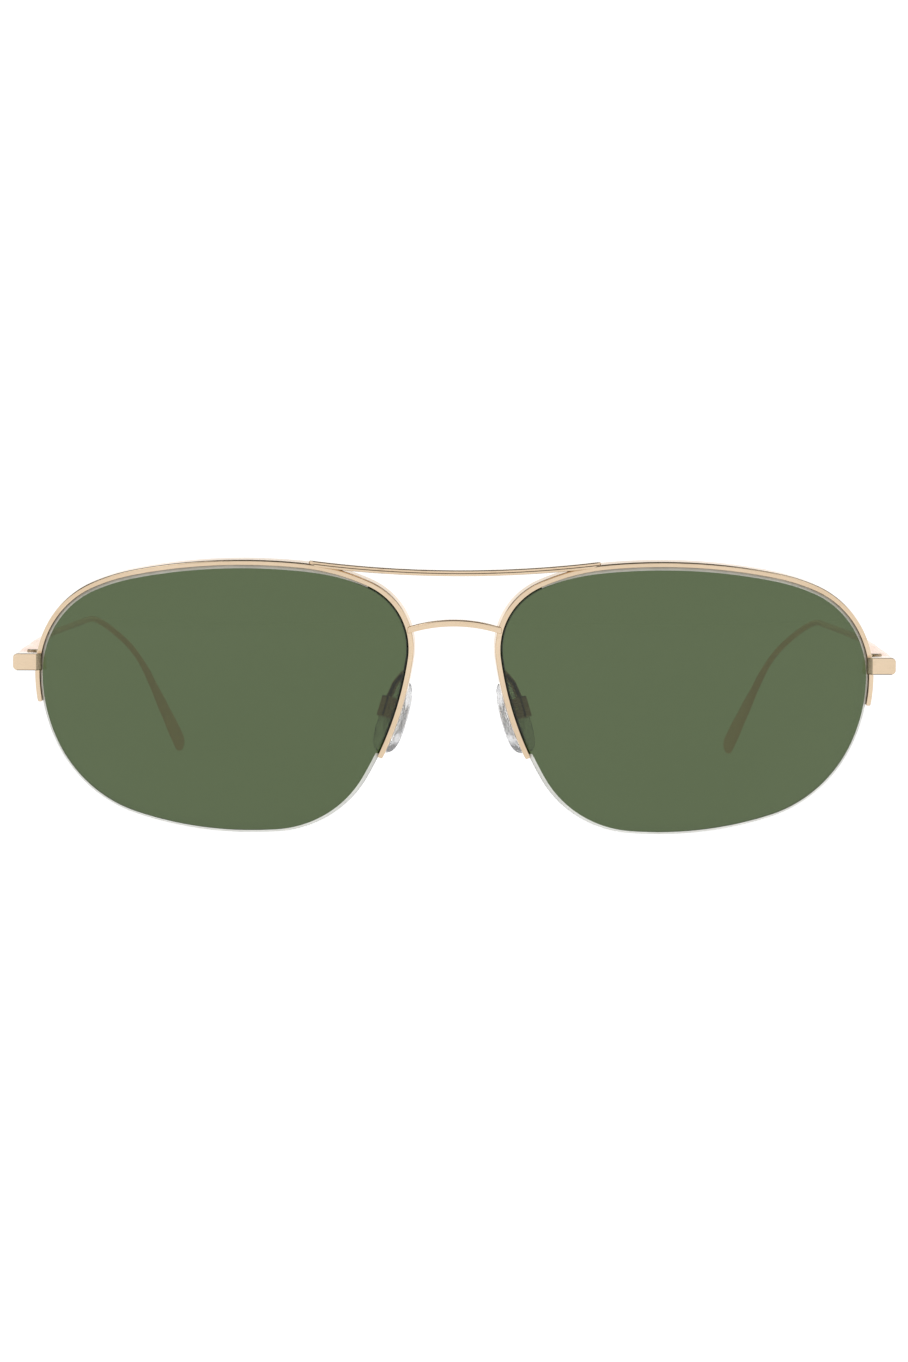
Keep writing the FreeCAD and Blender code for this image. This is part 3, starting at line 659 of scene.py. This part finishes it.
def pad_axes():
    """The nose pad's own axes: fore and aft, towards the nose, and up along the pad."""
    aft = Vector((math.sin(PAD_SPLAY), math.cos(PAD_SPLAY), 0.0))
    up = Vector((-math.sin(PAD_LEAN), 0.0, math.cos(PAD_LEAN)))
    up = (up - aft * up.dot(aft)).normalized()
    return aft, up.cross(aft), up


def make_pad(name, side, silicone):
    """A crowned oval pad, wider towards its lower end, with a shallow dip near its top."""
    aft, nose, up = pad_axes()
    work = bmesh.new()
    dip_at, dip_deep, dip_wide = PAD_DIP
    rings = []
    for k in range(1, PAD_LEVELS):
        lift = -math.cos(math.pi * k / PAD_LEVELS)
        reach = (1.0 - abs(lift) ** PAD_CROWN) ** (1.0 / PAD_CROWN)
        ring = []
        for i in range(PAD_SIDES):
            turn = FULL_TURN * i / PAD_SIDES
            c, s = math.cos(turn), math.sin(turn)
            u = math.copysign(abs(c) ** PAD_SQUARE[0], c) * PAD_WIDE / 2.0 * (1.0 - PAD_TAPER * s)
            w = math.copysign(abs(s) ** PAD_SQUARE[1], s) * PAD_LONG / 2.0
            u, w = u * reach, w * (1.0 - (1.0 - reach) * PAD_WIDE / PAD_LONG)
            dip = dip_deep * math.exp(-((w - dip_at * PAD_LONG / 2.0) / dip_wide) ** 2)
            v = lift * PAD_THICK / 2.0 - (dip if lift > 0.0 else 0.0)
            ring.append(world(PAD_CENTRE + aft * u + nose * v + up * w, side))
        rings.append(ring)
    skin(work, rings)
    node = name + "_nose_pad"
    piece = finish_mesh(node + ".crowned", work, node, silicone, crease=60.0)
    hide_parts(node)


def dress_cad_nodes(finish):
    """Gives every CAD node the material listed for it, or else that of its slot."""
    for entry in frame["record"]["subparts"]:
        piece = NODES[entry["node"]]
        piece.data.materials.clear()
        piece.data.materials.append(finish.get(entry["node"], finish[entry["material_slot"]]))


# ---- stage -------------------------------------------------------------------------------------
def make_floor():
    """A pale sweep: flat under the glasses, and curved up into a wall well behind them."""
    mesh = bpy.data.meshes.new("floor")
    work = bmesh.new()
    half, back, bend, tall = SWEEP
    profile = [(-half, 0.0), (back, 0.0)]
    for i in range(1, SWEEP_STEPS + 1):
        turn = math.pi / 2.0 * i / SWEEP_STEPS
        profile.append((back + bend * math.sin(turn), bend * (1.0 - math.cos(turn))))
    profile.append((back + bend, tall))
    rows = [[work.verts.new((x, y, z)) for x in (-half, half)] for y, z in profile]
    for low, high in zip(rows, rows[1:]):
        work.faces.new((low[0], low[1], high[1], high[0]))
    work.to_mesh(mesh)
    work.free()
    floor = bpy.data.objects.new("floor", mesh)
    floor.data.materials.append(sweep_material())
    for face in mesh.polygons:
        face.use_smooth = True
    bpy.context.scene.collection.objects.link(floor)


def area_light(name, place, aim, size, power):
    """A rectangular lamp turned to a point. Places and sizes in metres, power in watts."""
    light = bpy.data.lights.new(name, "AREA")
    light.shape = "RECTANGLE"
    light.size, light.size_y = size
    light.energy = power
    lamp = bpy.data.objects.new(name, light)
    lamp.location = place
    lamp.rotation_mode = "QUATERNION"
    lamp.rotation_quaternion = (Vector(aim) - Vector(place)).to_track_quat("-Z", "Y")
    bpy.context.scene.collection.objects.link(lamp)


def make_world():
    """A white cove under a dark ceiling, which soft edges mirror as a thin dark line."""
    room = bpy.data.worlds.new("studio")
    room.use_nodes = True
    tree = room.node_tree
    where = tree.nodes.new("ShaderNodeTexCoord")
    split = tree.nodes.new("ShaderNodeSeparateXYZ")
    ramp = tree.nodes.new("ShaderNodeValToRGB")
    tree.links.new(where.outputs["Generated"], split.inputs["Vector"])
    tree.links.new(split.outputs["Z"], ramp.inputs["Fac"])
    tree.links.new(ramp.outputs["Color"], tree.nodes["Background"].inputs["Color"])
    for element, (place, bright) in zip(ramp.color_ramp.elements, ROOM_BAND):
        element.position = place
        element.color = (bright, bright, bright, 1.0)
    tree.nodes["Background"].inputs["Strength"].default_value = ROOM_STRENGTH
    bpy.context.scene.world = room


def make_lights():
    """Key, fill and back light, all large and weak beside the room's own light."""
    area_light("key", (-0.9, -0.8, 1.2), (0, 0, 0), (0.9, 0.9), 4.0)
    area_light("fill", (1.1, -0.5, 1.0), (0, 0, 0), (0.9, 0.9), 2.5)
    area_light("back", (0.2, 1.3, 1.4), (0, 0.2, 0), (1.2, 0.5), 3.0)


def make_camera():
    """The camera, looking down at its target from in front."""
    camera = bpy.data.cameras.new("camera")
    camera.lens = CAMERA_LENS
    camera.sensor_width = CAMERA_SENSOR
    camera.clip_start, camera.clip_end = CAMERA_CLIPS
    eye = bpy.data.objects.new("camera", camera)
    ahead = Vector((0.0, math.cos(CAMERA_DOWN), -math.sin(CAMERA_DOWN)))
    eye.location = world(CAMERA_TARGET) - ahead * CAMERA_AWAY * MM
    eye.rotation_mode = "QUATERNION"
    level = ahead.to_track_quat("-Z", "Y")
    eye.rotation_quaternion = level @ Matrix.Rotation(CAMERA_ROLL, 4, "Z").to_quaternion()
    bpy.context.scene.collection.objects.link(eye)
    bpy.context.scene.camera = eye


make_camera()
make_world()
make_lights()
make_floor()

gold = gold_material("gold_plate", (0.77, 0.61, 0.44), (0.71, 0.55, 0.38), (0.58, 0.43, 0.29), 0.08, 0.20)
rose = gold_material("temple_gold", (0.90, 0.62, 0.45), (0.84, 0.55, 0.40), (0.68, 0.45, 0.31), 0.10, 0.24)
steel = gold_material("gold_steel", (0.60, 0.46, 0.31), (0.48, 0.36, 0.23), (0.34, 0.26, 0.18), 0.20, 0.36)
nylon = nylon_material()
silicone = silicone_material()
glass = lens_material()
# Pale lens edge: partly its own finish, partly a painted highlight of the bevel.
edge_and_highlight = edge_and_highlight_material()
# Darker copy of the frame gold for the pad boxes and pad arms: painted shade for the shade they sit in
# behind the lenses.
painted_shade_gold = gold_material("pad_gold_painted_shade", (0.58, 0.36, 0.25), (0.42, 0.26, 0.18), (0.34, 0.22, 0.16), 0.18, 0.32)
plate = gold_material("insert_metal", (0.93, 0.92, 0.90), (0.86, 0.85, 0.83), (0.78, 0.77, 0.75), 0.10, 0.25)
dress_cad_nodes({"right_pad_box": painted_shade_gold, "left_pad_box": painted_shade_gold, "right_pad_arm": painted_shade_gold,
                 "left_pad_arm": painted_shade_gold, "right_pad_insert": plate, "left_pad_insert": plate,
                 "gold_frame": gold, "screw_metal": steel, "clear_nylon": nylon,
                 "clear_silicone": silicone, "green_lens": glass})
make_bar("brow_bar", BROW_BAR, BROW_BAR_ROUND, True, gold)
make_bar("bridge", BRIDGE, BRIDGE_ROUND, False, gold)
for side_name, side_sign in SIDES.items():
    make_lens(side_name, side_sign, [glass, edge_and_highlight])
    make_rim(side_name, side_sign, gold)
    make_cord(side_name, side_sign, nylon)
    make_endpiece(side_name, side_sign, gold)
    make_temple(side_name, side_sign, rose)
    make_pad(side_name, side_sign, silicone)
bpy.context.scene.view_settings.view_transform = "Standard"
